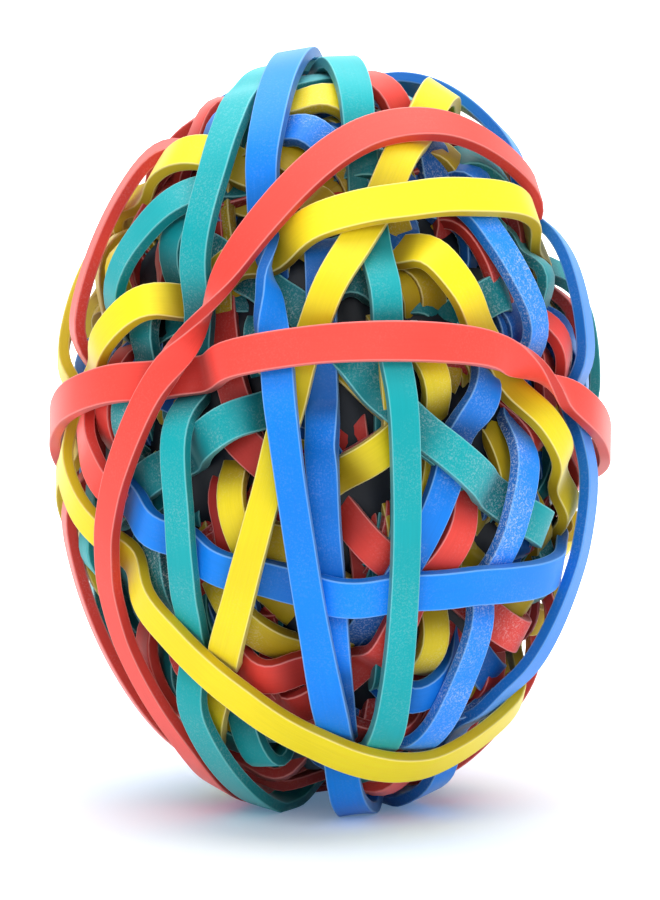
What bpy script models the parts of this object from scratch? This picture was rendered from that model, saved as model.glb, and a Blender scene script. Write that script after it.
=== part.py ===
"""A rubber band ball: flat rubber bands of four colours wound one over another round an inner winding.

Run it with blender --background --python part.py, or from Blender's text editor.
Each band is one closed strip that goes right round the ball. The bands press each other in where they
cross, so the ball stays round. Each is therefore laid from the outside in, against what lies over it.
"""

import math

import bmesh
import bpy
import numpy as np
from mathutils.bvhtree import BVHTree

# The ball, which stands upright on a small pressed spot
BALL_WIDTH = 0.0564
BALL_DEPTH = 0.0564
BALL_HEIGHT = 0.0765
PRESSED_DEPTH = 0.0009
PRESSED_REACH = 0.012
FLATTENED = 0.0005

# One band: an upright run shows its own width, and a run across shows a wider one
WIDTH_UP = 0.0029
WIDTH_ACROSS = 0.0038
THICKNESS = 0.0011
CLEARANCE = 0.00025

# How the bands lie: each starts a little deeper than the one wound after it
DEPTH_STEP = 0.00006
DEEPEST = 0.0030
DEPTH_PLAY = 0.00015
DIP_REACH = 0.0018
NARROWEST_RISE = 0.0030
STEEPEST_LEAN = math.radians(18)
LEAN_PLAY = math.radians(4)
LEAN_REACH = 0.0045
TWIST_LENGTH = 0.018
WINDING_DEPTH = 0.0032

# How finely each form is worked out and drawn
STATIONS = 240
FEWEST_SIDES = 20
COARSENESS = 0.00048
DIP_COARSENESS = 0.00030
TWIST_STEPS = 6
SIDES_OF_STRETCH = 8
FITTING_ROUNDS = 8
SETTLING_ROUNDS = 2
TRACE_STEP = 0.0005
TRACE_SHARES = (0, 0.25, 0.5, 0.75, 1)
WINDING_STEPS = 4
WINDING_REACH = math.radians(8)

# The routes are read off a front view from this far above the level, in percent of the outline's half
# width and half height. They are smoothed over this much of a turn, and fade out past their ends.
SIGHT_RISE = math.radians(9)
ROUTE_SMOOTHING = 0.11
ROUTE_FADE = 0.30
ROUTE_STEP = 0.03
PULL_TO_CENTRE = 0.06
WIDEST_STRAY = 0.55
TIGHT = 0.5
PERCENT = 0.01
RIM = 0.992

# From this far down, as a share of the half height, the bands come level with the floor spot
SPOT_EDGE = 0.90

TURN = 2 * math.pi
GOLDEN_TURN = TURN * 0.382
ANGLES = np.linspace(-math.pi, math.pi, STATIONS, endpoint=False)

COLOURS = {
    "red": (0.90, 0.085, 0.075),
    "yellow": (0.93, 0.76, 0.03),
    "teal": (0.012, 0.42, 0.45),
    "blue": (0.012, 0.25, 0.86),
}
INNER_COLOUR = (0.03, 0.16, 0.26)
ROUGHNESS = 0.55

# The bands from the innermost to the outermost: name, colour, route, and places of its half twists if it
# has any. A point of a route is percent to the right of the middle and percent above it, on the near side
# unless it says FAR.
FAR = "far"
INNER_BANDS = (
    ("red_inner_middle", "red", ((5, 8), (8, -3), (13, -22))),
    ("red_inner_upright_left", "red", ((-36, 35), (-32, 15), (-26, -13))),
)
OUTER_BANDS = (
    ("blue_inner_slant", "blue", ((55, 16), (50, 4), (35, -22), (15, -46), (7, -54))),
    ("red_slant_right", "red", ((61, 3), (50, -14), (38, -33), (25, -45), (7, -61), (-20, -65))),
    ("yellow_upright_left", "yellow", ((-63, 55), (-67, 45), (-66, 24), (-71, -4), (-65, -28), (-61, -38))),
    (
        "teal_upright_left",
        "teal",
        ((-53, 48), (-60, 25), (-65, 0), (-65, -8), (-58, -24), (-57, -35), (-54, -46)),
    ),
    ("teal_rise", "teal", ((-47, -4), (-23, 6), (3, 10), (20, 17), (32, 29))),
    ("red_shoulder_right", "red", ((50, 72), (63, 58), (72, 46), (80, 28))),
    ("teal_brow", "teal", ((-36, 58), (-17, 68), (15, 75), (40, 69), (57, 64))),
    ("teal_slant_right", "teal", ((-27, 38), (-5, 25), (13, 11), (31, 2), (46, -7), (60, -18), (76, -27))),
    ("blue_shoulder_right", "blue", ((41, 54), (52, 40), (60, 28))),
    ("blue_side_right", "blue", ((57, 56), (67, 38), (73, 20), (76, 0))),
    (
        "blue_curve_right",
        "blue",
        ((45, 57), (58, 43), (66, 15), (67, -8), (62, -30), (50, -56), (34, -76)),
    ),
    (
        "red_loop_right",
        "red",
        ((78, 35), (84, 5), (86, -20), (78, -41), (62, -63), (46, -76), (25, -82), (5, -79)),
    ),
    ("yellow_curve_right", "yellow", ((24, 46), (42, 34), (60, 17), (75, -1), (85, -19), (89, -34))),
    ("blue_upright_middle", "blue", ((-3, 50), (-2, 18), (-3, -10), (0, -37), (5, -78))),
    ("blue_across", "blue", ((-76, -12), (-58, -27), (-22, -40), (10, -42), (50, -39), (87, -29))),
    ("yellow_brow_left", "yellow", ((-76, 57), (-68, 66), (-55, 71), (-32, 68), (-10, 62), (-3, 58))),
    ("red_side_left", "red", ((-84, 35), (-87, 16), (-84, 3), (-84, -5), (-82, -13))),
    ("red_shoulder_left", "red", ((-60, 74), (-73, 66), (-82, 50), (-86, 35))),
    ("teal_shoulder_left", "teal", ((-47, 55), (-64, 43), (-76, 28))),
    ("teal_upright_right", "teal", ((7, 95), (11, 68), (18, 38), (26, 10), (26, -45), (20, -78))),
    (
        "yellow_slant",
        "yellow",
        ((38, 88), (22, 65), (7, 45), (-6, 28), (-20, -9), (-27, -30), (-36, -54), (-44, -78)),
    ),
    ("yellow_high", "yellow", ((80, 50), (68, 59), (40, 59), (0, 55), (-30, 42), (-67, 29), (-86, 14))),
    (
        "teal_upright_broad",
        "teal",
        ((-24, 93), (-37, 75), (-45, 46), (-50, 12), (-53, -20), (-48, -48), (-50, -66), (-35, -88)),
    ),
    (
        "blue_upright_left",
        "blue",
        ((-13, 100), (-21, 80), (-25, 57), (-22, 35), (-17, 5), (-8, -40), (0, -70), (7, -98)),
        ((-22, 42),),
    ),
    (
        "blue_edge_right",
        "blue",
        (
            (62, 70),
            (79, 56),
            (90, 33),
            (93, -10),
            (88, -38),
            (72, -60),
            (44, -81),
            (-10, -80, FAR),
            (-55, 0, FAR),
            (-10, 80, FAR),
        ),
    ),
    (
        "yellow_low",
        "yellow",
        ((-96, 2), (-82, -24), (-62, -48), (-32, -69), (2, -83), (32, -88), (50, -83), (65, -70)),
    ),
    (
        "red_across",
        "red",
        ((-99, 5), (-80, 12), (-40, 18), (0, 23), (40, 23), (66, 21), (84, 12), (97, 1)),
        ((76, 17),),
    ),
    (
        "red_slant_outer",
        "red",
        ((73, 63), (50, 78), (10, 77), (-20, 57), (-48, 30), (-67, 6), (-81, -25), (-78, -50), (-50, -81)),
        ((-50, 28),),
    ),
)


def unit(vectors):
    """The vectors at length one."""
    return vectors / np.linalg.norm(vectors, axis=-1, keepdims=True)


def half_sizes():
    """The ball's half width, half depth and half height."""
    return np.array((BALL_WIDTH, BALL_DEPTH, BALL_HEIGHT)) / 2


def seen_direction(across, up, level, side=None):
    """The direction from the ball's middle to a point of the view, on the near or the far side."""
    half = half_sizes()
    rise = math.atan2(half[1] * math.sin(SIGHT_RISE), half[2] * math.cos(SIGHT_RISE))
    flat = np.array((across, up)) * PERCENT / level
    length = np.linalg.norm(flat)
    flat = flat * min(1.0, RIM / max(length, RIM))
    near = math.sqrt(max(0, 1 - flat @ flat)) * (-1 if side == FAR else 1)
    return np.array(
        (
            flat[0],
            -near * math.cos(rise) + flat[1] * math.sin(rise),
            near * math.sin(rise) + flat[1] * math.cos(rise),
        )
    )


def seen_directions(route, levels):
    """The directions to the points of a route, each point at its own level."""
    return [seen_direction(*point[:2], level, *point[2:]) for point, level in zip(route, levels)]


def plane_of(directions):
    """The loop that runs nearest to these directions: its axis and its offset, kept near the middle."""
    count = len(directions)
    middle = directions.sum(axis=0) / (count * (1 + PULL_TO_CENTRE))
    spread = directions.T @ directions / count - np.outer(middle, middle) * (1 + PULL_TO_CENTRE)
    axis = np.linalg.eigh(spread)[1][:, 0]
    return axis, float(axis @ middle)


class Loop:
    """The way of one band round the ball, as a direction at each angle round its own axis."""

    def __init__(self, route, levels):
        turns = seen_directions(route, levels)
        stretches = []
        for first, second in zip(turns[:-1], turns[1:]):
            steps = max(2, int(np.linalg.norm(second - first) / ROUTE_STEP))
            shares = np.linspace(0, 1, steps, endpoint=False)[:, None]
            stretches.append(unit(first * (1 - shares) + second * shares))
        path = np.concatenate(stretches + [unit(turns[-1])[None]])
        self.axis, self.offset = plane_of(path)
        seed = path[len(path) // 2]
        self.first = unit(seed - self.axis * (seed @ self.axis))
        self.second = np.cross(self.axis, self.first)
        self.known = self.angle(path)
        self.stray = path @ self.axis - self.offset

    def angle(self, directions):
        return np.arctan2(directions @ self.second, directions @ self.first)

    def rise(self, angles):
        """The sine of the path's latitude over the loop's equator."""
        apart = np.abs(np.angle(np.exp(1j * (np.asarray(angles)[:, None] - self.known[None]))))
        weight = np.exp(-0.5 * (apart / ROUTE_SMOOTHING) ** 2)
        strength = weight.sum(axis=1)
        beyond = np.maximum(0, apart.min(axis=1)) / ROUTE_FADE
        fade = np.exp(-0.5 * beyond**2)
        return self.offset + fade * (weight @ self.stray) / np.maximum(strength, 1e-12)

    def directions(self, angles):
        angles = np.asarray(angles)
        sine = self.rise(angles)
        cosine = np.sqrt(1 - sine**2)
        return (
            np.outer(sine, self.axis)
            + np.outer(cosine * np.cos(angles), self.first)
            + np.outer(cosine * np.sin(angles), self.second)
        )


class Cover:
    """What lies over the band that is laid next: points on the bands wound later, and their forms."""

    def __init__(self, half):
        self.half = half
        self.clouds = [np.zeros((0, 3))]
        self.trees = []

    def add(self, band):
        self.clouds.append(band.trace())
        self.trees.append(band.tree())

    def points(self):
        return np.concatenate(self.clouds)


def surface_normal(directions, half):
    return unit(directions / half)


def run_width(tangents):
    """The width of a band by its heading, from its width on an upright run and on a run across."""
    upright = tangents[..., 2] ** 2
    return np.sqrt(WIDTH_UP**2 * upright + WIDTH_ACROSS**2 * (1 - upright))


def frames_of(points, directions, half):
    """The tangent, the outward normal and the sideways direction at each point of a closed path."""
    tangents = unit(
        unit(np.roll(points, -1, axis=0) - points) + unit(points - np.roll(points, 1, axis=0))
    )
    normals = surface_normal(directions, half)
    normals = unit(normals - tangents * (normals * tangents).sum(axis=1, keepdims=True))
    return tangents, normals, np.cross(normals, tangents)


def circular_blur(values, reach):
    """The values of a closed row, each blended with its neighbours over this many places."""
    span = np.arange(len(values))
    apart = np.minimum(span, len(values) - span)
    weight = np.exp(-0.5 * (apart / reach) ** 2)
    weight /= weight.sum()
    return np.real(np.fft.ifft(np.fft.fft(values) * np.fft.fft(weight)))


def twist_at(angles, places, half_span):
    """How far a band has turned over at each angle: half a turn after each twist, undone opposite it."""
    turned = np.zeros(len(angles))
    for place in places:
        after = np.mod(angles - place + half_span, TURN)
        forth = np.clip(after / (2 * half_span), 0, 1)
        back = np.clip((after - math.pi) / (2 * half_span), 0, 1)
        turned += math.pi * (smooth(forth) - smooth(back))
    return turned


def smooth(share):
    return share * share * (3 - 2 * share)


class Band:
    """One band, pressed against whatever lies over it."""

    def __init__(self, name, colour, route, twists, rank):
        self.name = name
        self.colour = colour
        self.route = route
        self.twists = twists
        self.depth = min(rank * DEPTH_STEP, DEEPEST)
        self.phase = rank * GOLDEN_TURN

    def lay(self, cover):
        """Lays the band twice, the second time with its route read at its true level."""
        levels = [1 - self.depth / float(np.mean(cover.half))] * len(self.route)
        for _ in range(2):
            self.settle(cover, levels)
            levels = self.route_levels(levels)
        self.build(cover.half)
        for _ in range(FITTING_ROUNDS):
            if not (self.lower_where_tight() or self.lower_where_crossed(cover)):
                break
            self.build(cover.half)
        cover.add(self)

    def route_levels(self, levels):
        """How high the band's outer face lies at each point of its route."""
        seen = np.array(seen_directions(self.route, levels))
        found = np.interp(self.loop.angle(seen), ANGLES, self.middle, period=TURN)
        return [float(level) for level in found + THICKNESS / 2 / float(np.mean(half_sizes()))]

    def settle(self, cover, levels):
        """Works out the height of the band's middle and its lean at each station."""
        half = cover.half
        level = float(np.mean(levels))
        self.loop = Loop(self.route, levels)
        directions = self.loop.directions(ANGLES)
        centres = directions * half
        tangents, normals, sideways = frames_of(centres, directions, half)
        widths = run_width(tangents)
        step = np.linalg.norm(np.roll(centres, -1, axis=0) - centres, axis=1).mean() * level
        self.half_span = TWIST_LENGTH / 2 / step * TURN / STATIONS
        places = [seen_direction(*place, level) for place in self.twists]
        self.twist_places = [float(self.loop.angle(place[None])[0]) for place in places]
        turned = twist_at(ANGLES, self.twist_places, self.half_span)
        points, stations, offsets = self.beside(cover, directions, sideways, level)
        own = self.own_height(directions, half)
        lean = self.lean_under(points, stations, offsets, normals, widths, own * half_of(centres, normals))
        lean = circular_blur(lean + LEAN_PLAY * np.sin(2 * ANGLES + self.phase), LEAN_REACH / step)
        self.lean = np.clip(lean, -STEEPEST_LEAN, STEEPEST_LEAN)
        up = normals * np.cos(self.lean)[:, None] - sideways * np.sin(self.lean)[:, None]
        across = np.abs(np.cos(turned))
        on_edge = np.abs(np.sin(turned))
        reach = widths / 2 * across + THICKNESS / 2 * on_edge + CLEARANCE
        rise = widths / 2 * on_edge + THICKNESS / 2 * across
        base = (centres * up).sum(axis=1)
        room = own.copy()
        under = np.abs(offsets) < reach[stations]
        at = stations[under]
        free = ((points[under] * up[at]).sum(axis=1) - CLEARANCE - rise[at]) / base[at]
        np.minimum.at(room, at, free)
        self.reach = max(1, round(DIP_REACH / step))
        self.middle = relaxed(room, round(NARROWEST_RISE / step), self.reach)
        self.beside_it = points, stations

    def own_height(self, directions, half):
        """The height that the band's middle takes where nothing lies over it."""
        down = np.clip((-directions[:, 2] - SPOT_EDGE) / (1 - SPOT_EDGE), 0, 1)
        depth = (self.depth + DEPTH_PLAY * np.sin(ANGLES + self.phase)) * (1 - smooth(down))
        support = 1 / np.linalg.norm(directions / half, axis=1)
        return 1 - (depth + THICKNESS / 2) / support

    def beside(self, cover, directions, sideways, level):
        """The covering points near the band, with the station and the sideways offset of each."""
        cloud = cover.points()
        seen = unit(cloud / cover.half)
        latitude = seen @ self.loop.axis
        roughly = np.abs(latitude - self.loop.offset) < WIDEST_STRAY
        seen = seen[roughly]
        turn = self.loop.angle(seen)
        stations = np.rint((turn - ANGLES[0]) / TURN * STATIONS).astype(int) % STATIONS
        away = (seen - directions[stations]) * cover.half * level
        offsets = (away * sideways[stations]).sum(axis=1)
        near = np.abs(offsets) < WIDTH_ACROSS
        return cloud[roughly][near], stations[near], offsets[near]

    def lean_under(self, points, stations, offsets, normals, widths, own):
        """The band tips down on the side that another band covers."""
        heights = (points * normals[stations]).sum(axis=1) - THICKNESS / 2 - CLEARANCE
        sides = []
        for side in (-1, 1):
            share = offsets * side / widths[stations]
            there = (share > 0.1) & (share < 0.6)
            found = own.copy()
            np.minimum.at(found, stations[there], heights[there])
            sides.append(found)
        slope = np.arctan2(sides[1] - sides[0], widths)
        return np.clip(slope, -1.5 * STEEPEST_LEAN, 1.5 * STEEPEST_LEAN)

    def chosen_stations(self, path, half):
        """The few stations at which the band is drawn, so that no stretch strays from its path."""
        chosen = list(range(0, STATIONS, STATIONS // FEWEST_SIDES))
        for place in self.twist_places:
            for middle in (place, place + TURN / 2):
                turns = middle + self.half_span * np.linspace(-1, 1, TWIST_STEPS + 1)
                chosen += [round((turn - ANGLES[0]) / TURN * STATIONS) % STATIONS for turn in turns]
        on_spot = path[:, 2] < THICKNESS + PRESSED_DEPTH - half[2]
        chosen += np.flatnonzero(on_spot).tolist()[::2]
        chosen = sorted(set(chosen))
        while len(chosen) < STATIONS:
            worst = (1.0, None)
            for start, end in zip(chosen, chosen[1:] + [chosen[0] + STATIONS]):
                if end - start < 2:
                    continue
                between = np.arange(start + 1, end) % STATIONS
                first = path[start]
                run = path[end % STATIONS] - first
                along = (path[between] - first) @ run / (run @ run)
                stray = path[between] - first - along[:, None] * run
                outward = (stray * path[between]).sum(axis=1) > 0
                allowed = np.where(outward, COARSENESS, DIP_COARSENESS)
                faults = np.linalg.norm(stray, axis=1) / allowed
                if faults.max() > worst[0]:
                    worst = (faults.max(), int(between[faults.argmax()]))
            if worst[1] is None:
                break
            chosen = sorted(chosen + [worst[1]])
        return np.array(chosen)

    def build(self, half):
        """The four corners of the band's section at each station that is drawn."""
        directions = self.loop.directions(ANGLES)
        path = directions * self.middle[:, None] * half
        drawn = self.chosen_stations(path, half)
        tangents, normals, sideways = frames_of(path[drawn], directions[drawn], half)
        turned = twist_at(ANGLES[drawn], self.twist_places, self.half_span)
        roll = self.lean[drawn] + turned
        flat = sideways * np.cos(roll)[:, None] + normals * np.sin(roll)[:, None]
        up = normals * np.cos(roll)[:, None] - sideways * np.sin(roll)[:, None]
        widths = run_width(tangents)[:, None]
        corners = []
        for side, face in ((-1, -1), (1, -1), (1, 1), (-1, 1)):
            corners.append(path[drawn] + flat * widths / 2 * side + up * THICKNESS / 2 * face)
        self.sections = np.stack(corners, axis=1)
        self.drawn = drawn
        self.ups = up
        self.flats = flat
        self.widths = widths

    def tree(self):
        """The band's form, for telling where another band cuts into it."""
        return BVHTree.FromPolygons(
            self.sections.reshape(-1, 3).tolist(), strip_triangles(len(self.sections))
        )

    def lower_where_crossed(self, cover):
        """Lowers the band's middle where its drawn form still cuts into what lies over it."""
        tree = self.tree()
        crossed = {pair[0] for other in cover.trees for pair in tree.overlap(other)}
        if not crossed:
            return False
        fault = np.zeros(STATIONS)
        for stretch in {triangle // SIDES_OF_STRETCH for triangle in crossed}:
            start = self.drawn[stretch]
            end = self.drawn[(stretch + 1) % len(self.drawn)]
            within = (start + np.arange((end - start) % STATIONS + 1)) % STATIONS
            fault[within] = CLEARANCE / float(np.mean(cover.half))
        self.middle = self.middle - blended(-lowest_within(-fault, self.reach), self.reach)
        return True

    def lower_where_tight(self):
        """Lowers the band's middle where its drawn form comes too near to what lies over it."""
        points, stations = self.beside_it
        count = len(self.drawn)
        after = np.searchsorted(self.drawn, stations, side="right")
        first = (after - 1) % count
        last = after % count
        start = self.drawn[first]
        share = ((stations - start) % STATIONS) / ((self.drawn[last] - start - 1) % STATIONS + 1)
        share = share[:, None]
        middles = self.sections.mean(axis=1)
        centre = middles[first] * (1 - share) + middles[last] * share
        up = unit(self.ups[first] * (1 - share) + self.ups[last] * share)
        flat = unit(self.flats[first] * (1 - share) + self.flats[last] * share)
        width = (self.widths[first] * (1 - share) + self.widths[last] * share)[:, 0]
        away = points - centre
        over = (away * up).sum(axis=1) - THICKNESS / 2
        aside = np.abs((away * flat).sum(axis=1)) - width / 2
        tight = (over < CLEARANCE * TIGHT) & (aside < CLEARANCE * TIGHT) & (over > -2 * THICKNESS)
        if not tight.any():
            return False
        support = np.linalg.norm(centre[tight], axis=1) / self.middle[stations[tight]]
        fault = np.zeros(STATIONS)
        np.maximum.at(fault, stations[tight], (CLEARANCE - over[tight]) / support)
        self.middle = self.middle - blended(-lowest_within(-fault, self.reach), self.reach)
        return True

    def trace(self):
        """Points along the band's four edges and along lines on its two broad faces."""
        lines = []
        for one, other in ((0, 1), (3, 2)):
            for share in TRACE_SHARES:
                lines.append(self.sections[:, one] * (1 - share) + self.sections[:, other] * share)
        traced = []
        for line in lines:
            ends = np.roll(line, -1, axis=0)
            for start, end in zip(line, ends):
                steps = max(1, math.ceil(np.linalg.norm(end - start) / TRACE_STEP))
                shares = np.arange(steps)[:, None] / steps
                traced.append(start + (end - start) * shares)
        return np.concatenate(traced)


def strip_triangles(count):
    """The triangles of a closed strip, by the corners of its sections: eight between each two sections."""
    found = []
    for ring in range(count):
        start = 4 * ring
        end = 4 * ((ring + 1) % count)
        for corner in range(4):
            after = (corner + 1) % 4
            found.append((start + corner, start + after, end + after))
            found.append((start + corner, end + after, end + corner))
    return found


def half_of(centres, normals):
    """The height of the ball's surface over its middle, measured along each normal."""
    return (centres * normals).sum(axis=1)


def lowest_within(heights, reach):
    """The lowest of the heights within this many places of each."""
    lowest = heights.copy()
    for step in range(1, reach + 1):
        lowest = np.minimum(lowest, np.minimum(np.roll(heights, step), np.roll(heights, -step)))
    return lowest


def blended(heights, reach):
    """The heights, each blended with those within this many places of it."""
    weights = np.cos(np.linspace(-math.pi / 2, math.pi / 2, 2 * reach + 3)[1:-1]) ** 2
    weights /= weights.sum()
    found = np.zeros(len(heights))
    for step, weight in zip(range(-reach, reach + 1), weights):
        found += weight * np.roll(heights, step)
    return found


def relaxed(room, rise, reach):
    """The smooth row of heights that stays within the room: it has no short rises, and it dips gently."""
    without_rises = -lowest_within(-lowest_within(room, rise), rise)
    return blended(lowest_within(without_rises, reach), reach)


def pressed(points, half):
    """The points after the ball's foot is pressed flat: the surface moves most, what lies deeper less."""
    near = np.minimum(((points[:, :2] / half[:2]) ** 2).sum(axis=1), 1)
    surface = -half[2] * np.sqrt(1 - near)
    spot = PRESSED_DEPTH - half[2]
    fade = np.clip(1 - (points[:, 2] - surface) / PRESSED_REACH, 0, 1)
    raised = points[:, 2] + np.maximum(0, spot - surface) * fade
    return np.column_stack((points[:, :2], np.maximum(raised, spot + FLATTENED)))


def wind(half):
    """All the bands, the outermost laid first, each of the others under what is wound over it."""
    cover = Cover(half)
    bands = []
    for rank, (name, colour, route, *twists) in enumerate(reversed(INNER_BANDS + OUTER_BANDS)):
        band = Band(name, colour, route, twists[0] if twists else (), rank)
        band.lay(cover)
        bands.append(band)
    return bands, cover


def wound_ball():
    """The bands and the cover of a ball that has its stated sizes, and the function that stands it up."""
    wanted = half_sizes()
    half = wanted
    for _ in range(SETTLING_ROUNDS):
        bands, cover = wind(half)
        corners = pressed(np.concatenate([band.sections.reshape(-1, 3) for band in bands]), half)
        low = corners.min(axis=0)
        high = corners.max(axis=0)
        laid = half
        half = half * 2 * wanted / (high - low)
    shift = -np.array(((low[0] + high[0]) / 2, (low[1] + high[1]) / 2, low[2]))
    return bands, cover, lambda points: pressed(points, laid) + shift


def rubber(name, colour):
    """A matt rubber of one colour."""
    material = bpy.data.materials.new(name)
    material.use_nodes = True
    surface = material.node_tree.nodes["Principled BSDF"]
    surface.inputs["Base Color"].default_value = (*colour, 1)
    surface.inputs["Roughness"].default_value = ROUGHNESS
    surface.inputs["Metallic"].default_value = 0
    material.diffuse_color = (*colour, 1)
    return material


def add_object(name, shape, colour):
    mesh = bpy.data.meshes.new(name)
    shape.to_mesh(mesh)
    shape.free()
    mesh.materials.append(rubber(name, colour))
    made = bpy.data.objects.new(name, mesh)
    bpy.context.scene.collection.objects.link(made)


def add_band(band, stand):
    """The band as one closed strip."""
    shape = bmesh.new()
    corners = [shape.verts.new(corner) for corner in stand(band.sections.reshape(-1, 3))]
    for triangle in strip_triangles(len(band.sections)):
        shape.faces.new([corners[place] for place in triangle])
    bmesh.ops.recalc_face_normals(shape, faces=shape.faces)
    add_object(band.name, shape, COLOURS[band.colour])


def add_inner_winding(cover, stand):
    """The bands wound first, of which only glimpses show, as the one mass that they make."""
    shape = bmesh.new()
    bmesh.ops.create_icosphere(shape, subdivisions=WINDING_STEPS, radius=1)
    points = cover.points() / cover.half
    heights = np.linalg.norm(points, axis=1)
    seen = unit(points)
    directions = unit(np.array([vertex.co for vertex in shape.verts]))
    supports = 1 / np.linalg.norm(directions / cover.half, axis=1)
    levels = 1 - WINDING_DEPTH / supports
    for place, direction in enumerate(directions):
        near = seen @ direction > math.cos(WINDING_REACH)
        if near.any():
            levels[place] = min(levels[place], heights[near].min() - CLEARANCE / supports[place])
    for vertex, corner in zip(shape.verts, stand(directions * levels[:, None] * cover.half)):
        vertex.co = corner
    add_object("inner_winding", shape, INNER_COLOUR)


def main():
    for made in list(bpy.data.objects):
        bpy.data.objects.remove(made)
    bands, cover, stand = wound_ball()
    add_inner_winding(cover, stand)
    for band in bands:
        add_band(band, stand)


if __name__ == "__main__":
    main()
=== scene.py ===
import collections
import functools
import math

import bmesh
import bpy
import numpy as np
from bpy.props import FloatProperty, FloatVectorProperty, IntProperty, PointerProperty
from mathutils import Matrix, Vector


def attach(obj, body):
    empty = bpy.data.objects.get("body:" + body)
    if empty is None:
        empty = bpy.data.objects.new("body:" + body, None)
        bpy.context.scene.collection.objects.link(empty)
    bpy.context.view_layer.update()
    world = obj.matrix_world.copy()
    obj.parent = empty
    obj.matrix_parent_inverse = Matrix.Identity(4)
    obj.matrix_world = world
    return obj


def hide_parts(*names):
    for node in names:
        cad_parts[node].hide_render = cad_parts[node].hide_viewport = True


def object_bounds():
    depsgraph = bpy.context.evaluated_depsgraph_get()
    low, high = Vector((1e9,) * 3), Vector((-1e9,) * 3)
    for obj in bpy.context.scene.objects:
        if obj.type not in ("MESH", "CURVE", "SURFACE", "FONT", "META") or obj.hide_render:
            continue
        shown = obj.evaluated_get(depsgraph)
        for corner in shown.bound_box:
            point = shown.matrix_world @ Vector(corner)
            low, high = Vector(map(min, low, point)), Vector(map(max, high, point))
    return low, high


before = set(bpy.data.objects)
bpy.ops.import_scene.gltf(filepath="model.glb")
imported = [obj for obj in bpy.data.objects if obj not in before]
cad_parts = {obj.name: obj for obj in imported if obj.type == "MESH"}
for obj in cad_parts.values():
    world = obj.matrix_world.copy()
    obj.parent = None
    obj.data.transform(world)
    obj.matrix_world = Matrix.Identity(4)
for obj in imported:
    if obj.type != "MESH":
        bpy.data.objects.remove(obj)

bl_info = {
    "name": "Rubber band ball",
    "version": (1, 0, 0),
    "blender": (4, 5, 0),
    "location": "3D View > Sidebar > Band Ball",
    "description": "Winds a ball of coloured rubber bands over the plain solids and lights it",
    "category": "Object",
}

LOW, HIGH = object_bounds()

# The ball's foot is pressed flat, so its full form would reach this far below the floor
SUNK_FOOT = 0.0014
FOOT_PRESS = 0.0005
PRESS_REACH = 0.012

# A plain solid's band: its node, its dust, the ends of the stretch that shows on the near side, and at
# which of the two it goes under the others
Outer = collections.namedtuple("Outer", "node dust ends dives", defaults=(None, (True, True)))

# A band that shows only in the gaps: its colour and the route of the stretch that shows
Gap = collections.namedtuple("Gap", "colour route")

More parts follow.
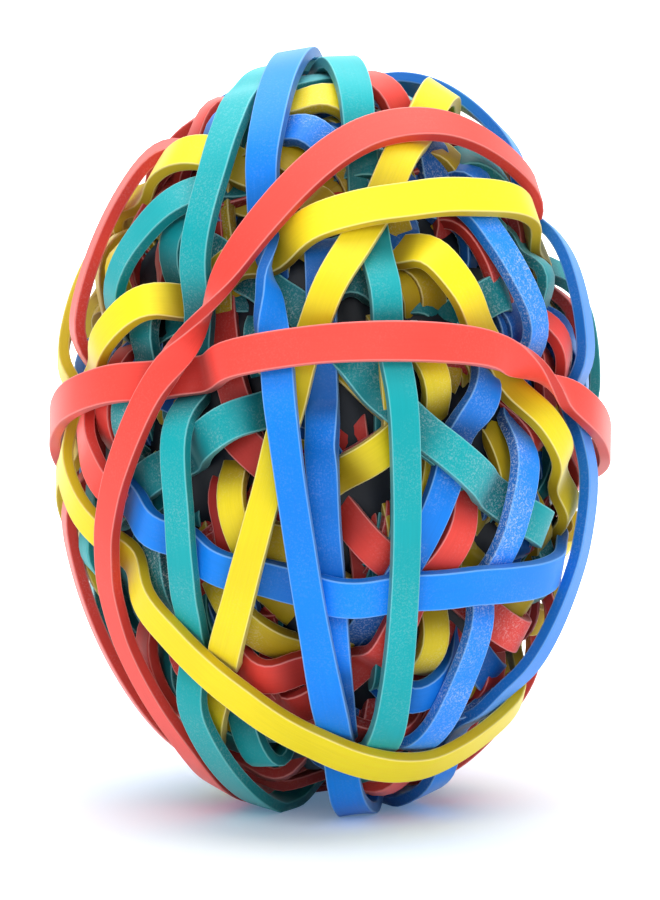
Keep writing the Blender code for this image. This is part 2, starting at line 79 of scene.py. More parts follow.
# All the bands that can be told apart, from the outermost in. A point is percent of the outline's half
# width to the right of its middle and percent of its half height above it, on the near side.
WINDING = (
    Outer("red_slant_outer", 0.15, ((70, 67), (-50, -81)), (True, False)),
    Outer("red_across", 0.15),
    Outer("yellow_low", 0.10, ((-96, 2), (65, -70)), (False, True)),
    Outer("blue_edge_right", 0.25),
    Outer("blue_upright_left", 0.20),
    Outer("teal_upright_broad", 0.35),
    Outer("yellow_high", 0.10, ((80, 50), (-86, 14)), (True, False)),
    Gap("teal", ((72, 61), (79, 53), (83, 42))),
    Outer("yellow_slant", 0.15, ((38, 88), (-44, -78)), (False, True)),
    Outer("teal_upright_right", 0.30, ((7, 95), (19, -80)), (False, True)),
    Gap("yellow", ((-13, 89), (-8, 91), (0, 91), (8, 89))),
    Gap("blue", ((-14, 79), (-7, 83), (0, 80), (4, 75))),
    Gap("red", ((11, 95), (18, 94), (25, 92), (30, 89), (31, 86))),
    Gap("blue", ((12, 92), (20, 90), (28, 87), (36, 82))),
    Gap("teal", ((-10, 95), (-3, 97), (5, 98), (13, 96))),
    Gap("yellow", ((-30, 80), (-20, 79), (-12, 76), (-6, 73))),
    Outer("red_shoulder_left", 0.25, ((-60, 74), (-86, 35)), (True, False)),
    Outer("red_side_left", 0.25, ((-84, 35), (-82, -13))),
    Outer("yellow_brow_left", 0.15, ((-76, 57), (-3, 58))),
    Outer("teal_shoulder_left", 0.35, ((-47, 55), (-76, 28)), (False, True)),
    Gap("teal", ((-48, 66), (-55, 61), (-59, 54), (-62, 47))),
    Gap("yellow", ((-83, 60), (-90, 45), (-93, 30), (-94, 15))),
    Gap("red", ((-86, 54), (-92, 42), (-95, 30), (-96, 20), (-95, 8))),
    Gap("red", ((-58, 74), (-55, 79), (-50, 83), (-40, 89), (-30, 93), (-24, 95))),
    Gap("blue", ((-38, 85), (-45, 82), (-53, 76))),
    Gap("yellow", ((-26, 93), (-34, 89), (-41, 84))),
    Outer("blue_across", 0.25, ((-76, -12), (87, -29))),
    Gap("teal", ((-93, -12), (-91, -22), (-88, -32), (-82, -50), (-78, -58))),
    Outer("blue_upright_middle", 0.30, ((-3, 50), (5, -78))),
    Outer("yellow_curve_right", 0.15, ((24, 46), (89, -34))),
    Outer("red_loop_right", 0.15, ((78, 35), (5, -79))),
    Gap("yellow", ((22, 56), (28, 48), (33, 42))),
    Gap("yellow", ((29, 56), (35, 49), (42, 40))),
    Outer("blue_curve_right", 0.85, ((45, 57), (34, -76))),
    Gap("teal", ((50, 34), (57, 37), (65, 40), (72, 41), (79, 39))),
    Gap("teal", ((66, 53), (73, 50), (77, 45), (80, 40))),
    Outer("blue_side_right", 0.40, ((57, 56), (76, 0))),
    Outer("blue_shoulder_right", 0.40, ((41, 54), (60, 28))),
    Gap("teal", ((38, 41), (44, 39.5), (50, 38))),
    Outer("teal_slant_right", 0.60, ((-27, 38), (76, -27))),
    Gap("yellow", ((67, 4), (69, -8), (70, -22))),
    Gap("red", ((66, 20), (73, 13), (78, 6), (81, -4))),
    Gap("red", ((84, 34), (86, 22), (87, 8))),
    Outer("teal_brow", 0.70, ((-36, 58), (57, 64))),
    Outer("red_shoulder_right", 0.25, ((50, 72), (80, 28))),
    Outer("teal_rise", 0.50, ((-47, -4), (32, 29))),
    Outer("teal_upright_left", 1.00, ((-53, 48), (-54, -46))),
    Outer("yellow_upright_left", 0.30, ((-63, 55), (-61, -38))),
    Gap("red", ((-64, 51), (-75, 44), (-83, 33))),
    Gap("yellow", ((1, -14), (12, -8), (21, -3), (33, 3))),
    Gap("red", ((2, -22), (12, -28), (20, -34))),
    Gap("red", ((-20, -13), (-27, -6), (-36, -2))),
    Gap("yellow", ((-38, -6), (-37, -17), (-34, -25), (-31, -29))),
    Gap("red", ((-44, -10), (-43, -20), (-39, -28))),
    Outer("red_slant_right", 0.25, ((61, 3), (-20, -65))),
    Outer("blue_inner_slant", 0.60, ((55, 16), (7, -54))),
    Gap("yellow", ((37, 18), (40, 10), (44, 2))),
    Gap("yellow", ((47, 18), (46, 10), (44, 2))),
    Outer("red_inner_upright_left", 0.25, ((-36, 35), (-26, -8))),
    Outer("red_inner_middle", 0.25, ((5, 8), (13, -22))),
    Gap("red", ((-69, -47), (-64, -54), (-57, -60), (-50, -66))),
    Gap("teal", ((-38, -72), (-33, -78), (-26, -84), (-18, -90))),
    Gap("red", ((-38, -71), (-30, -76), (-20, -79), (-8, -81))),
    Gap("red", ((-25, -81), (-15, -84), (-6, -86), (5, -87))),
    Gap("red", ((-70, -55), (-62, -66), (-54, -75))),
    Gap("yellow", ((-60, -60), (-52, -72), (-44, -82))),
    Gap("blue", ((5, -70), (15, -70.5), (30, -71), (40, -67), (50, -60))),
    Gap("blue", ((-15, -86), (-8, -90), (0, -92))),
    Gap("red", ((-26, -64), (-16, -65), (-4, -66))),
    Gap("yellow", ((-41, -43), (-27, -54), (-21, -59), (-15, -62))),
    Gap("yellow", ((-25, -45), (-18, -50), (-12, -55))),
    Gap("teal", ((-22, -45), (-15, -48), (-8, -52))),
    Gap("yellow", ((45, -34), (40, -47), (38, -55), (36, -61), (32, -66))),
    Gap("red", ((48, -46), (60, -50), (72, -54))),
    Gap("yellow", ((58, -40), (65, -44), (72, -49))),
    Gap("red", ((84, -50), (80, -56), (74, -64))),
    Gap("blue", ((79, 5), (76, -5), (76, -27))),
    Gap("teal", ((13, 12), (16, 0), (18, -18), (20, -28), (22, -40))),
    Gap("teal", ((-12, 39), (0, 35), (7, 30), (14, 24))),
    Gap("yellow", ((-36, -28), (-27, -29), (-18, -30))),
    Gap("blue", ((42, 75), (50, 70), (56, 65))),
    Gap("yellow", ((-43, 30), (-40, 20), (-38, 8))),
    Gap("teal", ((-28, 42), (-27, 30), (-26, 20))),
    Gap("blue", ((-6, 63), (3, 63), (12, 62))),
    Gap("red", ((-72, 57), (-76, 50), (-79, 44))),
    Gap("red", ((-74, 37), (-79, 31), (-82, 25))),
    Gap("blue", ((48, -56), (54, -61), (60, -66))),
    Gap("yellow", ((52, -16), (58, -22), (64, -28))),
)

COLOUR_NAMES = ("red", "yellow", "teal", "blue")


def length(name, description, default, least=0.0):
    return FloatProperty(name=name, description=description, default=default, min=least, unit="LENGTH")


def amount(name, description, default):
    return FloatProperty(name=name, description=description, default=default, min=0.0)


def paint(name, description, default):
    return FloatVectorProperty(name=name, description=description, default=default, subtype="COLOR", size=3)


def whole(name, description, default):
    return IntProperty(name=name, description=description, default=default, min=0)


class BandSettings(bpy.types.PropertyGroup):
    """Sizes of the bands and of how they lie."""

    thickness: length("Band Thickness", "Thickness of each rubber band", 0.00115, 0.0003)
    edge_radius: length("Edge Radius", "Rounding of the cut edges of each band", 0.00012, 0.00002)
    edge_support: length(
        "Edge Support", "How far beside its rounding a band's face starts to be quite flat", 0.00014, 0.00002
    )
    lay_gap: length("Lay Gap", "Air left between a band and the band that covers it", 0.00004)
    depth_step: length("Depth Step", "How much deeper each band lies than the one wound after it", 0.000024)
    hidden_depth: length(
        "Hidden Depth", "How deep a band lies at least past the ends of what shows of it", 0.0016
    )
    filler_count: whole("Filler Bands", "Number of bands wound at random under all the others", 70)
    filler_depth: length("Filler Depth", "Depth of the first of the bands wound at random", 0.0019)
    core_depth: length("Core Depth", "Depth of the mass under all the bands that can be seen", 0.0054)
    seed: whole("Seed", "Which of the random windings is used", 7)


class RubberColours(bpy.types.PropertyGroup):
    """Colours of the rubber, in linear light."""

    red: paint("Red Rubber", "Colour of the red bands", (1.0, 0.078, 0.058))
    yellow: paint("Yellow Rubber", "Colour of the yellow bands", (0.98, 0.79, 0.018))
    teal: paint("Teal Rubber", "Colour of the teal bands", (0.002, 0.40, 0.44))
    blue: paint("Blue Rubber", "Colour of the blue bands", (0.001, 0.245, 0.94))
    dust: paint("Dust", "Colour of the powder that clings to the rubber", (0.86, 0.90, 0.92))
    # Painted shade: the core is near black to stand for the deep shadow in the gaps, not for the colour of
    # the rubber inside
    core: paint("Core", "Colour of the shaded mass under the bands", (0.003, 0.006, 0.012))


class StageSettings(bpy.types.PropertyGroup):
    """The camera, the floor and the lamps."""

    camera_distance: length("Camera Distance", "Distance from the camera to the ball's middle", 0.95, 0.2)
    camera_rise: FloatProperty(
        name="Camera Rise",
        description="How far above the level the camera looks down from",
        default=math.radians(9),
        subtype="ANGLE",
    )
    view_height: length("View Height", "Height of the picture at the ball's middle", 0.0900, 0.01)
    view_drop: length("View Drop", "How far the picture's middle is below the ball's middle", 0.0016)
    floor_colour: paint("Floor", "Colour of the floor", (0.90, 0.90, 0.90))
    top_power: amount("Top Lamp Power", "Power of the soft lamp overhead", 5.6)
    side_power: amount("Side Lamp Power", "Power of each of the two soft lamps beside the camera", 1.45)
    sky_strength: amount("Sky Strength", "Strength of the plain light from all round", 0.42)


# Working out where the bands lie

# Places along each band, and the map of how deep what is already wound lies in each direction
STATIONS = 240
ANGLES = np.linspace(-math.pi, math.pi, STATIONS, endpoint=False)
MAP_CELLS = 300
SAMPLE_STEP = 0.00011
ACROSS_SHARES = np.linspace(-1, 1, 9)

# How gently a band dips under the others and leans on them
DIP_REACH = 0.0010
BLUR_REACH = 0.0024
LEAN_REACH = 0.0030
LEAN_SPAN = 1.3
STEEPEST_LEAN = math.tan(math.radians(10))
FITTING_REACH = 0.0013
FITTING_ROUNDS = 3

# From how steep a turn a plain solid's band counts as twisted
TWIST_FROM = math.radians(25)

# The view in which the points of WINDING are given
PERCENT = 0.01
RIM = 0.992
SIGHT_RISE = math.radians(9)
USUAL_LEVEL = 0.94
LIMB = -0.25

# How a route is rounded off and carried on round the ball, and where it counts as hidden
ROUTE_STEP = 0.03
ROUTE_SMOOTHING = 0.11
ROUTE_FADE = 0.30
PULL_TO_CENTRE = 0.06
ROUTE_EASE = 0.07
SHOWN_STATIONS_PAST = 4

# Painted shade: from what depth a band is painted darker, as if shaded in the gaps, and over how much more it
# gets darkest
SHADE_FROM = 0.0008
SHADE_OVER = 0.0030

WIDTH_UP = 0.0029
WIDTH_ACROSS = 0.0038

# Gentle unevenness: over how many stations it runs, and its share of a band's width or its depth in metres
UNEVEN_STATIONS = 5
UNEVEN_GAIN = 4
OUTER_WIDTH_UNEVEN = 0.02
GAP_WIDTH_UNEVEN = 0.03
OUTER_DEPTH_UNEVEN = 0.00008
OUTER_TONE = 0.35
GAP_TONE = 0.5
GAP_DUST = 0.7

# How a plain solid's band is smoothed, in stations
WAY_BLUR = 1.2
WIDTH_BLUR = 4
TURN_BLUR = 2.0

# How far a filler sways from its great circle, once and twice round
FILLER_SWAY = 0.08
FILLER_DOUBLE_SWAY = 0.04


def unit(vectors):
    """The vectors at length one."""
    return vectors / np.linalg.norm(vectors, axis=-1, keepdims=True)


def half_sizes():
    """Half the width, depth and height of the ball's full form, before its foot is pressed."""
    size = HIGH - LOW
    return np.array((size.x / 2, size.y / 2, (size.z + SUNK_FOOT) / 2))


def ball_middle():
    half = half_sizes()
    return np.array(((LOW.x + HIGH.x) / 2, (LOW.y + HIGH.y) / 2, half[2] - SUNK_FOOT))


def blurred(values, reach):
    """The values of a closed row, each blended with its neighbours over this many places."""
    span = np.arange(len(values))
    apart = np.minimum(span, len(values) - span)
    weight = np.exp(-0.5 * (apart / max(reach, 0.01)) ** 2)
    weight = np.fft.fft(weight / weight.sum())
    if values.ndim == 1:
        return np.real(np.fft.ifft(np.fft.fft(values) * weight))
    return np.real(np.fft.ifft(np.fft.fft(values, axis=0) * weight[:, None], axis=0))


def highest_within(values, reach):
    """The highest of the values within this many places of each, round a closed row."""
    highest = values.copy()
    for step in range(1, reach + 1):
        highest = np.maximum(highest, np.maximum(np.roll(values, step), np.roll(values, -step)))
    return highest


class Cover:
    """How deep under the ball's full form the top of what is already wound lies, in each direction."""

    def __init__(self):
        self.half = half_sizes()
        self.middle = ball_middle()
        self.depths = np.full(6 * MAP_CELLS * MAP_CELLS, np.inf)

    def bare_direction(self, rng):
        """The direction of a place that nothing covers yet, or none."""
        bare = np.flatnonzero(np.isinf(self.depths))
        if not len(bare):
            return None
        cell = int(bare[rng.integers(len(bare))])
        face, place = divmod(cell, MAP_CELLS * MAP_CELLS)
        major, far = divmod(face, 2)
        direction = np.zeros(3)
        direction[major] = -1 if far else 1
        for step, count in zip((1, 2), divmod(place, MAP_CELLS)):
            direction[(major + step) % 3] = math.tan(((count + 0.5) / MAP_CELLS * 2 - 1) * math.pi / 4)
        return unit(direction)

    def cells(self, directions):
        """The cell of each direction, on the six faces of a cube."""
        size = np.abs(directions)
        major = size.argmax(axis=1)
        rows = np.arange(len(directions))
        main = directions[rows, major]
        face = 2 * major + (main < 0)
        places = []
        for step in (1, 2):
            share = directions[rows, (major + step) % 3] / np.abs(main)
            cell = (np.arctan(share) * 4 / math.pi + 1) / 2 * MAP_CELLS
            places.append(np.clip(cell.astype(int), 0, MAP_CELLS - 1))
        return (face * MAP_CELLS + places[0]) * MAP_CELLS + places[1]

    def depth_at(self, directions):
        return self.depths[self.cells(directions)]

    def add(self, points):
        seen = (points - self.middle) / self.half
        level = np.linalg.norm(seen, axis=1)
        directions = seen / level[:, None]
        support = np.linalg.norm(directions * self.half, axis=1)
        np.minimum.at(self.depths, self.cells(directions), (1 - level) * support)


def welded(mesh):
    """The corners and the edges of a mesh of loose triangles, with corners in one place made one."""
    count = len(mesh.vertices)
    points = np.empty(count * 3)
    mesh.vertices.foreach_get("co", points)
    points = points.reshape(-1, 3)
    ends = np.empty(len(mesh.edges) * 2, int)
    mesh.edges.foreach_get("vertices", ends)
    _, first, index = np.unique(np.round(points, 6), axis=0, return_index=True, return_inverse=True)
    edges = np.sort(index.reshape(-1)[ends].reshape(-1, 2), axis=1)
    edges = np.unique(edges[edges[:, 0] != edges[:, 1]], axis=0)
    return points[first], edges


def section_of(outline):
    """The middle, the long direction and the length and width of a flat four-sided outline."""
    centre = outline.mean(axis=0)
    order = np.argsort(np.arctan2(*(outline - centre).T[::-1]))
    ring = outline[order] - centre
    after = np.roll(ring, -1, axis=0)
    cross = ring[:, 0] * after[:, 1] - ring[:, 1] * after[:, 0]
    area = cross.sum() / 2
    middle = ((ring + after) * cross[:, None]).sum(axis=0) / (6 * area)
    moments = np.zeros((2, 2))
    for one, other, share in zip(ring - middle, after - middle, cross):
        both = one + other
        moments += (np.outer(one, one) + np.outer(other, other) + np.outer(both, both)) * share / 24
    values, axes = np.linalg.eigh(moments / area)
    return centre + middle, axes[:, 1], np.sqrt(12 * np.maximum(values[::-1], 0))


def read_band(node):
    """The middle, the long direction and the size of a plain solid's section, at each station."""
    points, edges = welded(node.data)
    centre = points.mean(axis=0)
    axes = np.linalg.eigh(np.cov((points - centre).T))[1]
    axis, first = axes[:, 0], axes[:, 2]
    second = np.cross(axis, first)
    flat = np.stack(((points - centre) @ first, (points - centre) @ second), axis=1)
    height = (points - centre) @ axis
    middles, longs, sizes = [], [], []
    for angle in ANGLES:
        ahead = np.array((math.cos(angle), math.sin(angle)))
        side = flat @ np.array((-ahead[1], ahead[0]))
        out = flat @ ahead
        one, other = edges.T
        cut = (side[one] >= 0) != (side[other] >= 0)
        one, other = one[cut], other[cut]
        share = side[one] / (side[one] - side[other])
        reach = out[one] + (out[other] - out[one]) * share
        rise = height[one] + (height[other] - height[one]) * share
        outline = np.stack((reach, rise), axis=1)[reach > 0]
        middle, long, size = section_of(outline)
        outward = first * ahead[0] + second * ahead[1]
        middles.append(centre + outward * middle[0] + axis * middle[1])
        longs.append(outward * long[0] + axis * long[1])
        sizes.append(size)
    return np.array(middles), np.array(longs), np.array(sizes)


def run_frames(points, directions, half):
    """The tangent, the outward normal and the sideways direction at each point of a closed path."""
    tangents = unit(np.roll(points, -1, axis=0) - np.roll(points, 1, axis=0))
    normals = unit(directions / half)
    normals = unit(normals - tangents * (normals * tangents).sum(axis=1, keepdims=True))
    return tangents, normals, np.cross(normals, tangents)


def evenly_spaced(directions, half, *others):
    """The closed path at stations an equal way apart, and what goes with it."""
    points = directions * half
    steps = np.linalg.norm(np.roll(points, -1, axis=0) - points, axis=1)
    along = np.concatenate(([0], np.cumsum(steps)))
    wanted = np.linspace(0, along[-1], STATIONS, endpoint=False)
    found = []
    for values in (directions, *others):
        closed = np.concatenate((values, values[:1]))
        if closed.ndim == 1:
            found.append(np.interp(wanted, along, closed))
        else:
            found.append(np.stack([np.interp(wanted, along, row) for row in closed.T], axis=1))
    found[0] = unit(found[0])
    return found


def seen_direction(across, up, level, half):
    """The direction from the ball's middle to a point of the view."""
    rise = math.atan2(half[1] * math.sin(SIGHT_RISE), half[2] * math.cos(SIGHT_RISE))
    flat = np.array((across, up)) * PERCENT / level
    length = np.linalg.norm(flat)
    flat = flat * min(1.0, RIM / max(length, RIM))
    near = math.sqrt(1 - flat @ flat)
    return np.array(
        (
            flat[0],
            -near * math.cos(rise) + flat[1] * math.sin(rise),
            near * math.sin(rise) + flat[1] * math.cos(rise),
        )
    )


def way_round(axis, first, second, sine):
    """The closed way round an axis, as far above its great circle as the sine says at each station."""
    cosine = np.sqrt(1 - sine**2)
    level = np.outer(cosine * np.cos(ANGLES), first) + np.outer(cosine * np.sin(ANGLES), second)
    return np.outer(sine, axis) + level


def route_path(route, level, half):
    """The closed way round the ball that follows a route, and how far each station is past its ends."""
    turns = [seen_direction(*point, level, half) for point in route]
    stretches = []
    for one, other in zip(turns[:-1], turns[1:]):
        steps = max(2, int(np.linalg.norm(other - one) / ROUTE_STEP))
        shares = np.linspace(0, 1, steps, endpoint=False)[:, None]
        stretches.append(unit(one * (1 - shares) + other * shares))
    path = np.concatenate(stretches + [turns[-1][None]])
    middle = path.mean(axis=0) / (1 + PULL_TO_CENTRE)
    spread = path.T @ path / len(path) - np.outer(middle, middle) * (1 + PULL_TO_CENTRE)
    axis = np.linalg.eigh(spread)[1][:, 0]
    offset = float(axis @ middle)
    seed = path[len(path) // 2]
    first = unit(seed - axis * (seed @ axis))
    second = np.cross(axis, first)
    known = np.arctan2(path @ second, path @ first)
    stray = path @ axis - offset
    apart = np.abs(np.angle(np.exp(1j * (ANGLES[:, None] - known[None]))))
    weight = np.exp(-0.5 * (apart / ROUTE_SMOOTHING) ** 2)
    beyond = apart.min(axis=1)
    fade = np.exp(-0.5 * (beyond / ROUTE_FADE) ** 2)
    sine = offset + fade * (weight @ stray) / np.maximum(weight.sum(axis=1), 1e-12)
    return way_round(axis, first, second, sine), beyond


class Lay:
    """One band, laid under whatever is wound over it and, where it is hidden, under all that shows."""

    def __init__(self, colour, directions, widths, turned, own_depth, hidden, settings, cover, tone, dust):
        self.colour = colour
        self.tone = tone
        self.dust = dust
        self.thickness = settings.thickness
        self.gap = settings.lay_gap
        self.half_widths = widths / 2
        self.turned = turned
        self.own_depth = own_depth
        self.hidden = hidden
        self.surface = directions * cover.half
        _, self.normals, self.sideways = run_frames(self.surface, directions, cover.half)
        on_edge = np.abs(np.sin(turned))
        on_face = np.abs(np.cos(turned))
        self.reach = self.half_widths * on_face + self.thickness / 2 * on_edge
        self.rise = self.thickness / 2 * on_face + self.half_widths * on_edge
        self.on_face = on_face
        self.need = self.need_under(cover)
        self.settle(cover)
        cover.add(self.samples(~hidden))

    def need_under(self, cover):
        """How deep each part of the section has to lie, at each station."""
        beside = self.reach[:, None] * ACROSS_SHARES[None]
        places = self.surface[:, None] + self.sideways[:, None] * beside[:, :, None]
        covered = cover.depth_at(unit(places / cover.half).reshape(-1, 3)).reshape(beside.shape)
        under = np.where(np.isfinite(covered), covered + self.thickness + self.gap, -np.inf)
        return np.maximum(under, self.own_depth[:, None]) + self.rise[:, None]

    def hide(self, cover, hidden_depth):
        """Lays the hidden stretches again, now that all that shows is wound."""
        if self.hidden.any():
            self.own_depth = np.where(self.hidden, np.maximum(self.own_depth, hidden_depth), self.own_depth)
            self.need = np.where(self.hidden[:, None], self.need_under(cover), self.need)
            self.settle(cover)
            cover.add(self.samples(self.hidden))

    def settle(self, cover):
        """Finds the smooth way of the band that lies at least as deep as it has to."""
        step = np.linalg.norm(np.roll(self.surface, -1, axis=0) - self.surface, axis=1).mean()
        beside = self.reach[:, None] * ACROSS_SHARES[None]
        left = self.need[:, : len(ACROSS_SHARES) // 2].max(axis=1)
        right = self.need[:, len(ACROSS_SHARES) // 2 + 1 :].max(axis=1)
        slope = np.clip((right - left) / (LEAN_SPAN * self.reach), -STEEPEST_LEAN, STEEPEST_LEAN)
        slope = blurred(slope, LEAN_REACH / step)
        wanted = (self.need - slope[:, None] * beside).max(axis=1)
        middle = blurred(highest_within(wanted, round(DIP_REACH / step)), BLUR_REACH / step)
        for _ in range(FITTING_ROUNDS):
            short = highest_within(np.maximum(wanted - middle, 0), round(FITTING_REACH / step))
            middle = middle + blurred(short, FITTING_REACH / step)
        # How much painted shade the band gets where it lies deep
        self.shades = np.clip((middle - self.rise - SHADE_FROM) / SHADE_OVER, 0, 1)
        support = np.linalg.norm(self.surface, axis=1)
        self.points = cover.middle + self.surface * (1 - middle / support)[:, None]
        lean = -np.arctan(slope) * self.on_face
        tangents = unit(np.roll(self.points, -1, axis=0) - np.roll(self.points, 1, axis=0))
        normals = unit(self.normals - tangents * (self.normals * tangents).sum(axis=1, keepdims=True))
        sideways = np.cross(normals, tangents)
        roll = (self.turned + lean)[:, None]
        self.across = sideways * np.cos(roll) + normals * np.sin(roll)
        self.up = normals * np.cos(roll) - sideways * np.sin(roll)

    def samples(self, wanted):
        """Points close together all over the band's two broad faces, at the wanted stations."""
        length = np.linalg.norm(np.roll(self.points, -1, axis=0) - self.points, axis=1).max()
        steps = math.ceil(length / SAMPLE_STEP)
        columns = math.ceil(2 * self.half_widths.max() / SAMPLE_STEP)
        shares = np.arange(steps) / steps
        rows = []
        for values in (self.points, self.across * self.half_widths[:, None], self.up * self.thickness / 2):
            after = np.roll(values, -1, axis=0)[wanted]
            before = values[wanted][:, None] * (1 - shares)[None, :, None]
            rows.append((before + after[:, None] * shares[None, :, None]).reshape(-1, 3))
        sides = np.linspace(-1, 1, columns)
        found = []
        for face in (-1, 1):
            spread = rows[0][:, None] + rows[1][:, None] * sides[None, :, None] + rows[2][:, None] * face
            found.append(spread.reshape(-1, 3))
        return np.concatenate(found)


def width_by_heading(tangents):
    """An upright run is stretched more, so it is narrower than a run across."""
    upright = tangents[:, 2] ** 2
    return np.sqrt(WIDTH_UP**2 * upright + WIDTH_ACROSS**2 * (1 - upright))


def uneven(rng, count, size):
    """A gentle unevenness round a closed row."""
    return blurred(rng.normal(size=count), UNEVEN_STATIONS) * size * UNEVEN_GAIN


def hidden_past_ends(directions, band, half):
    """At which stations the band lies hidden: on the near side, past an end at which it goes under."""
    if band.ends is None:
        return np.zeros(len(directions), bool)
    view = unit(np.array((0, -math.cos(SIGHT_RISE), math.sin(SIGHT_RISE))) / half)
    near = directions @ view
    first, last = (int((directions @ seen_direction(*end, USUAL_LEVEL, half)).argmax()) for end in band.ends)
    count = len(directions)
    place = np.arange(count)
    shown = (place - first) % count <= (last - first) % count
    if near[shown].mean() < near[~shown].mean():
        shown = (first - place) % count <= (first - last) % count
    past = [np.minimum((place - end) % count, (end - place) % count) for end in (first, last)]
    goes_under = np.where(past[0] <= past[1], *band.dives)
    return ~shown & goes_under & (np.minimum(*past) > SHOWN_STATIONS_PAST) & (near > LIMB)


def outer_lay(band, depth, settings, cover, rng):
    """The band of a plain solid, with its twists, smooth and pressed under what covers it."""
    middles, longs, sections = read_band(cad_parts[band.node])
    half = cover.half
    directions = unit((middles - cover.middle) / half)
    directions = unit(blurred(directions, WAY_BLUR))
    tangents, normals, sideways = run_frames(directions * half, directions, half)
    doubled = 2 * np.arctan2((longs * normals).sum(axis=1), (longs * sideways).sum(axis=1))
    turned = np.unwrap(doubled) / 2
    turned -= math.pi * round(float(np.median(turned)) / math.pi)
    drift = turned[0] - turned[-1]
    turned += np.linspace(0, 1, len(turned)) * math.pi * round(drift / math.pi)
    nearest = np.round(turned / math.pi) * math.pi
    turned = np.where(np.abs(turned - nearest) > TWIST_FROM, turned, nearest)
    oblique = np.linalg.norm(longs - tangents * (longs * tangents).sum(axis=1, keepdims=True), axis=1)
    widths = sections[:, 0] * oblique
    directions, widths, turned = evenly_spaced(directions, half, widths, turned)
    widths = blurred(widths, WIDTH_BLUR) * (1 + uneven(rng, STATIONS, OUTER_WIDTH_UNEVEN))
    turned = blurred(turned, TURN_BLUR)
    own_depth = np.full(STATIONS, depth) + np.abs(uneven(rng, STATIONS, OUTER_DEPTH_UNEVEN))
    hidden = hidden_past_ends(directions, band, half)
    colour = band.node.split("_")[0]
    tone = float(rng.normal() * OUTER_TONE)
    return Lay(colour, directions, widths, turned, own_depth, hidden, settings, cover, tone, band.dust)


def gap_lay(band, depth, settings, cover, rng):
    """A band that shows in a gap: past the ends of its route it goes deep under the others."""
    half = cover.half
    way, beyond = route_path(band.route, 1 - depth / float(np.mean(half)), half)
    directions, beyond = evenly_spaced(way, half, beyond)
    widths = width_by_heading(run_frames(directions * half, directions, half)[0])
    widths = widths * (1 + uneven(rng, STATIONS, GAP_WIDTH_UNEVEN))
    own_depth = np.full(STATIONS, depth)
    level = np.zeros(STATIONS)
    tone = float(rng.normal() * GAP_TONE)
    dust = float(rng.uniform(0, GAP_DUST))
    hidden = beyond > ROUTE_EASE
    return Lay(band.colour, directions, widths, level, own_depth, hidden, settings, cover, tone, dust)


def filler_lay(depth, settings, cover, rng):
    """A band wound close to a great circle, through a place that nothing covers yet."""
    through = cover.bare_direction(rng)
    first = unit(rng.normal(size=3)) if through is None else through
    axis = unit(np.cross(first, rng.normal(size=3)))
    second = np.cross(axis, first)
    sine = FILLER_SWAY * np.sin(ANGLES) + FILLER_DOUBLE_SWAY * np.sin(2 * ANGLES)
    way = way_round(axis, first, second, sine)
    directions = evenly_spaced(way, cover.half)[0]
    widths = width_by_heading(run_frames(directions * cover.half, directions, cover.half)[0])
    colour = COLOUR_NAMES[int(rng.integers(len(COLOUR_NAMES)))]
    level = np.zeros(STATIONS)
    own_depth = np.full(STATIONS, depth)
    tone = float(rng.normal() * GAP_TONE)
    hidden = np.zeros(STATIONS, bool)
    dust = float(rng.uniform(0, GAP_DUST))
    return Lay(colour, directions, widths, level, own_depth, hidden, settings, cover, tone, dust)


@functools.lru_cache(maxsize=2)
def winding(settings):
    """All the bands, the outermost laid first: those that can be told apart, then those wound at random."""
    rng = np.random.default_rng(settings.seed)
    cover = Cover()
    outer = {}
    under = []
    for rank, band in enumerate(WINDING):
        depth = rank * settings.depth_step
        if isinstance(band, Outer):
            outer[band.node] = outer_lay(band, depth, settings, cover, rng)
        else:
            under.append(gap_lay(band, depth, settings, cover, rng))
    for lay in [*outer.values(), *under]:
        lay.hide(cover, settings.hidden_depth)
    for rank in range(settings.filler_count):
        under.append(filler_lay(settings.filler_depth + rank * settings.depth_step, settings, cover, rng))
    return outer, under


WindingSizes = collections.namedtuple(
    "WindingSizes", "thickness lay_gap depth_step hidden_depth filler_count filler_depth seed"
)


def wound_bands(settings):
    return winding(WindingSizes(*(getattr(settings, name) for name in WindingSizes._fields)))


# Making the bands' form

# Points round each corner of a band's section. The gap bands show little, so one is enough there, and each
# piece stays under 200,000 triangles.
OUTER_CORNER_POINTS = 3
GAP_CORNER_POINTS = 1

# The raw section is small, because the nodes put each of its points in its place
RAW_SECTION = 0.001
RAW_CORNER = 0.1


def input_socket(tree, name, kind, default=None):
    socket = tree.interface.new_socket(name, in_out="INPUT", socket_type=kind)
    if default is not None:
        socket.default_value = default
    return socket


def named_attribute(tree, name, kind):
    node = tree.nodes.new("GeometryNodeInputNamedAttribute")
    node.data_type = kind
    node.inputs["Name"].default_value = name
    return next(output for output in node.outputs if output.enabled and output.name == "Attribute")


def stored(tree, geometry, name, kind, value):
    node = tree.nodes.new("GeometryNodeStoreNamedAttribute")
    node.data_type = kind
    node.domain = "POINT"
    node.inputs["Name"].default_value = name
    tree.links.new(geometry, node.inputs["Geometry"])
    tree.links.new(value, next(put for put in node.inputs if put.enabled and put.name == "Value"))
    return node.outputs["Geometry"]


def joined(tree, kind, operation, *values):
    """The result of a math node on sockets or numbers."""
    node = tree.nodes.new(kind)
    node.operation = operation
    for put, value in zip(node.inputs, values):
        if isinstance(value, (int, float)):
            put.default_value = value
        else:
            tree.links.new(value, put)
    return node.outputs["Value"] if kind == "ShaderNodeMath" else node.outputs["Vector"]


def math_node(tree, operation, *values):
    return joined(tree, "ShaderNodeMath", operation, *values)


def scaled(tree, vector, amount):
    node = tree.nodes.new("ShaderNodeVectorMath")
    node.operation = "SCALE"
    tree.links.new(vector, node.inputs[0])
    tree.links.new(amount, node.inputs["Scale"])
    return node.outputs["Vector"]


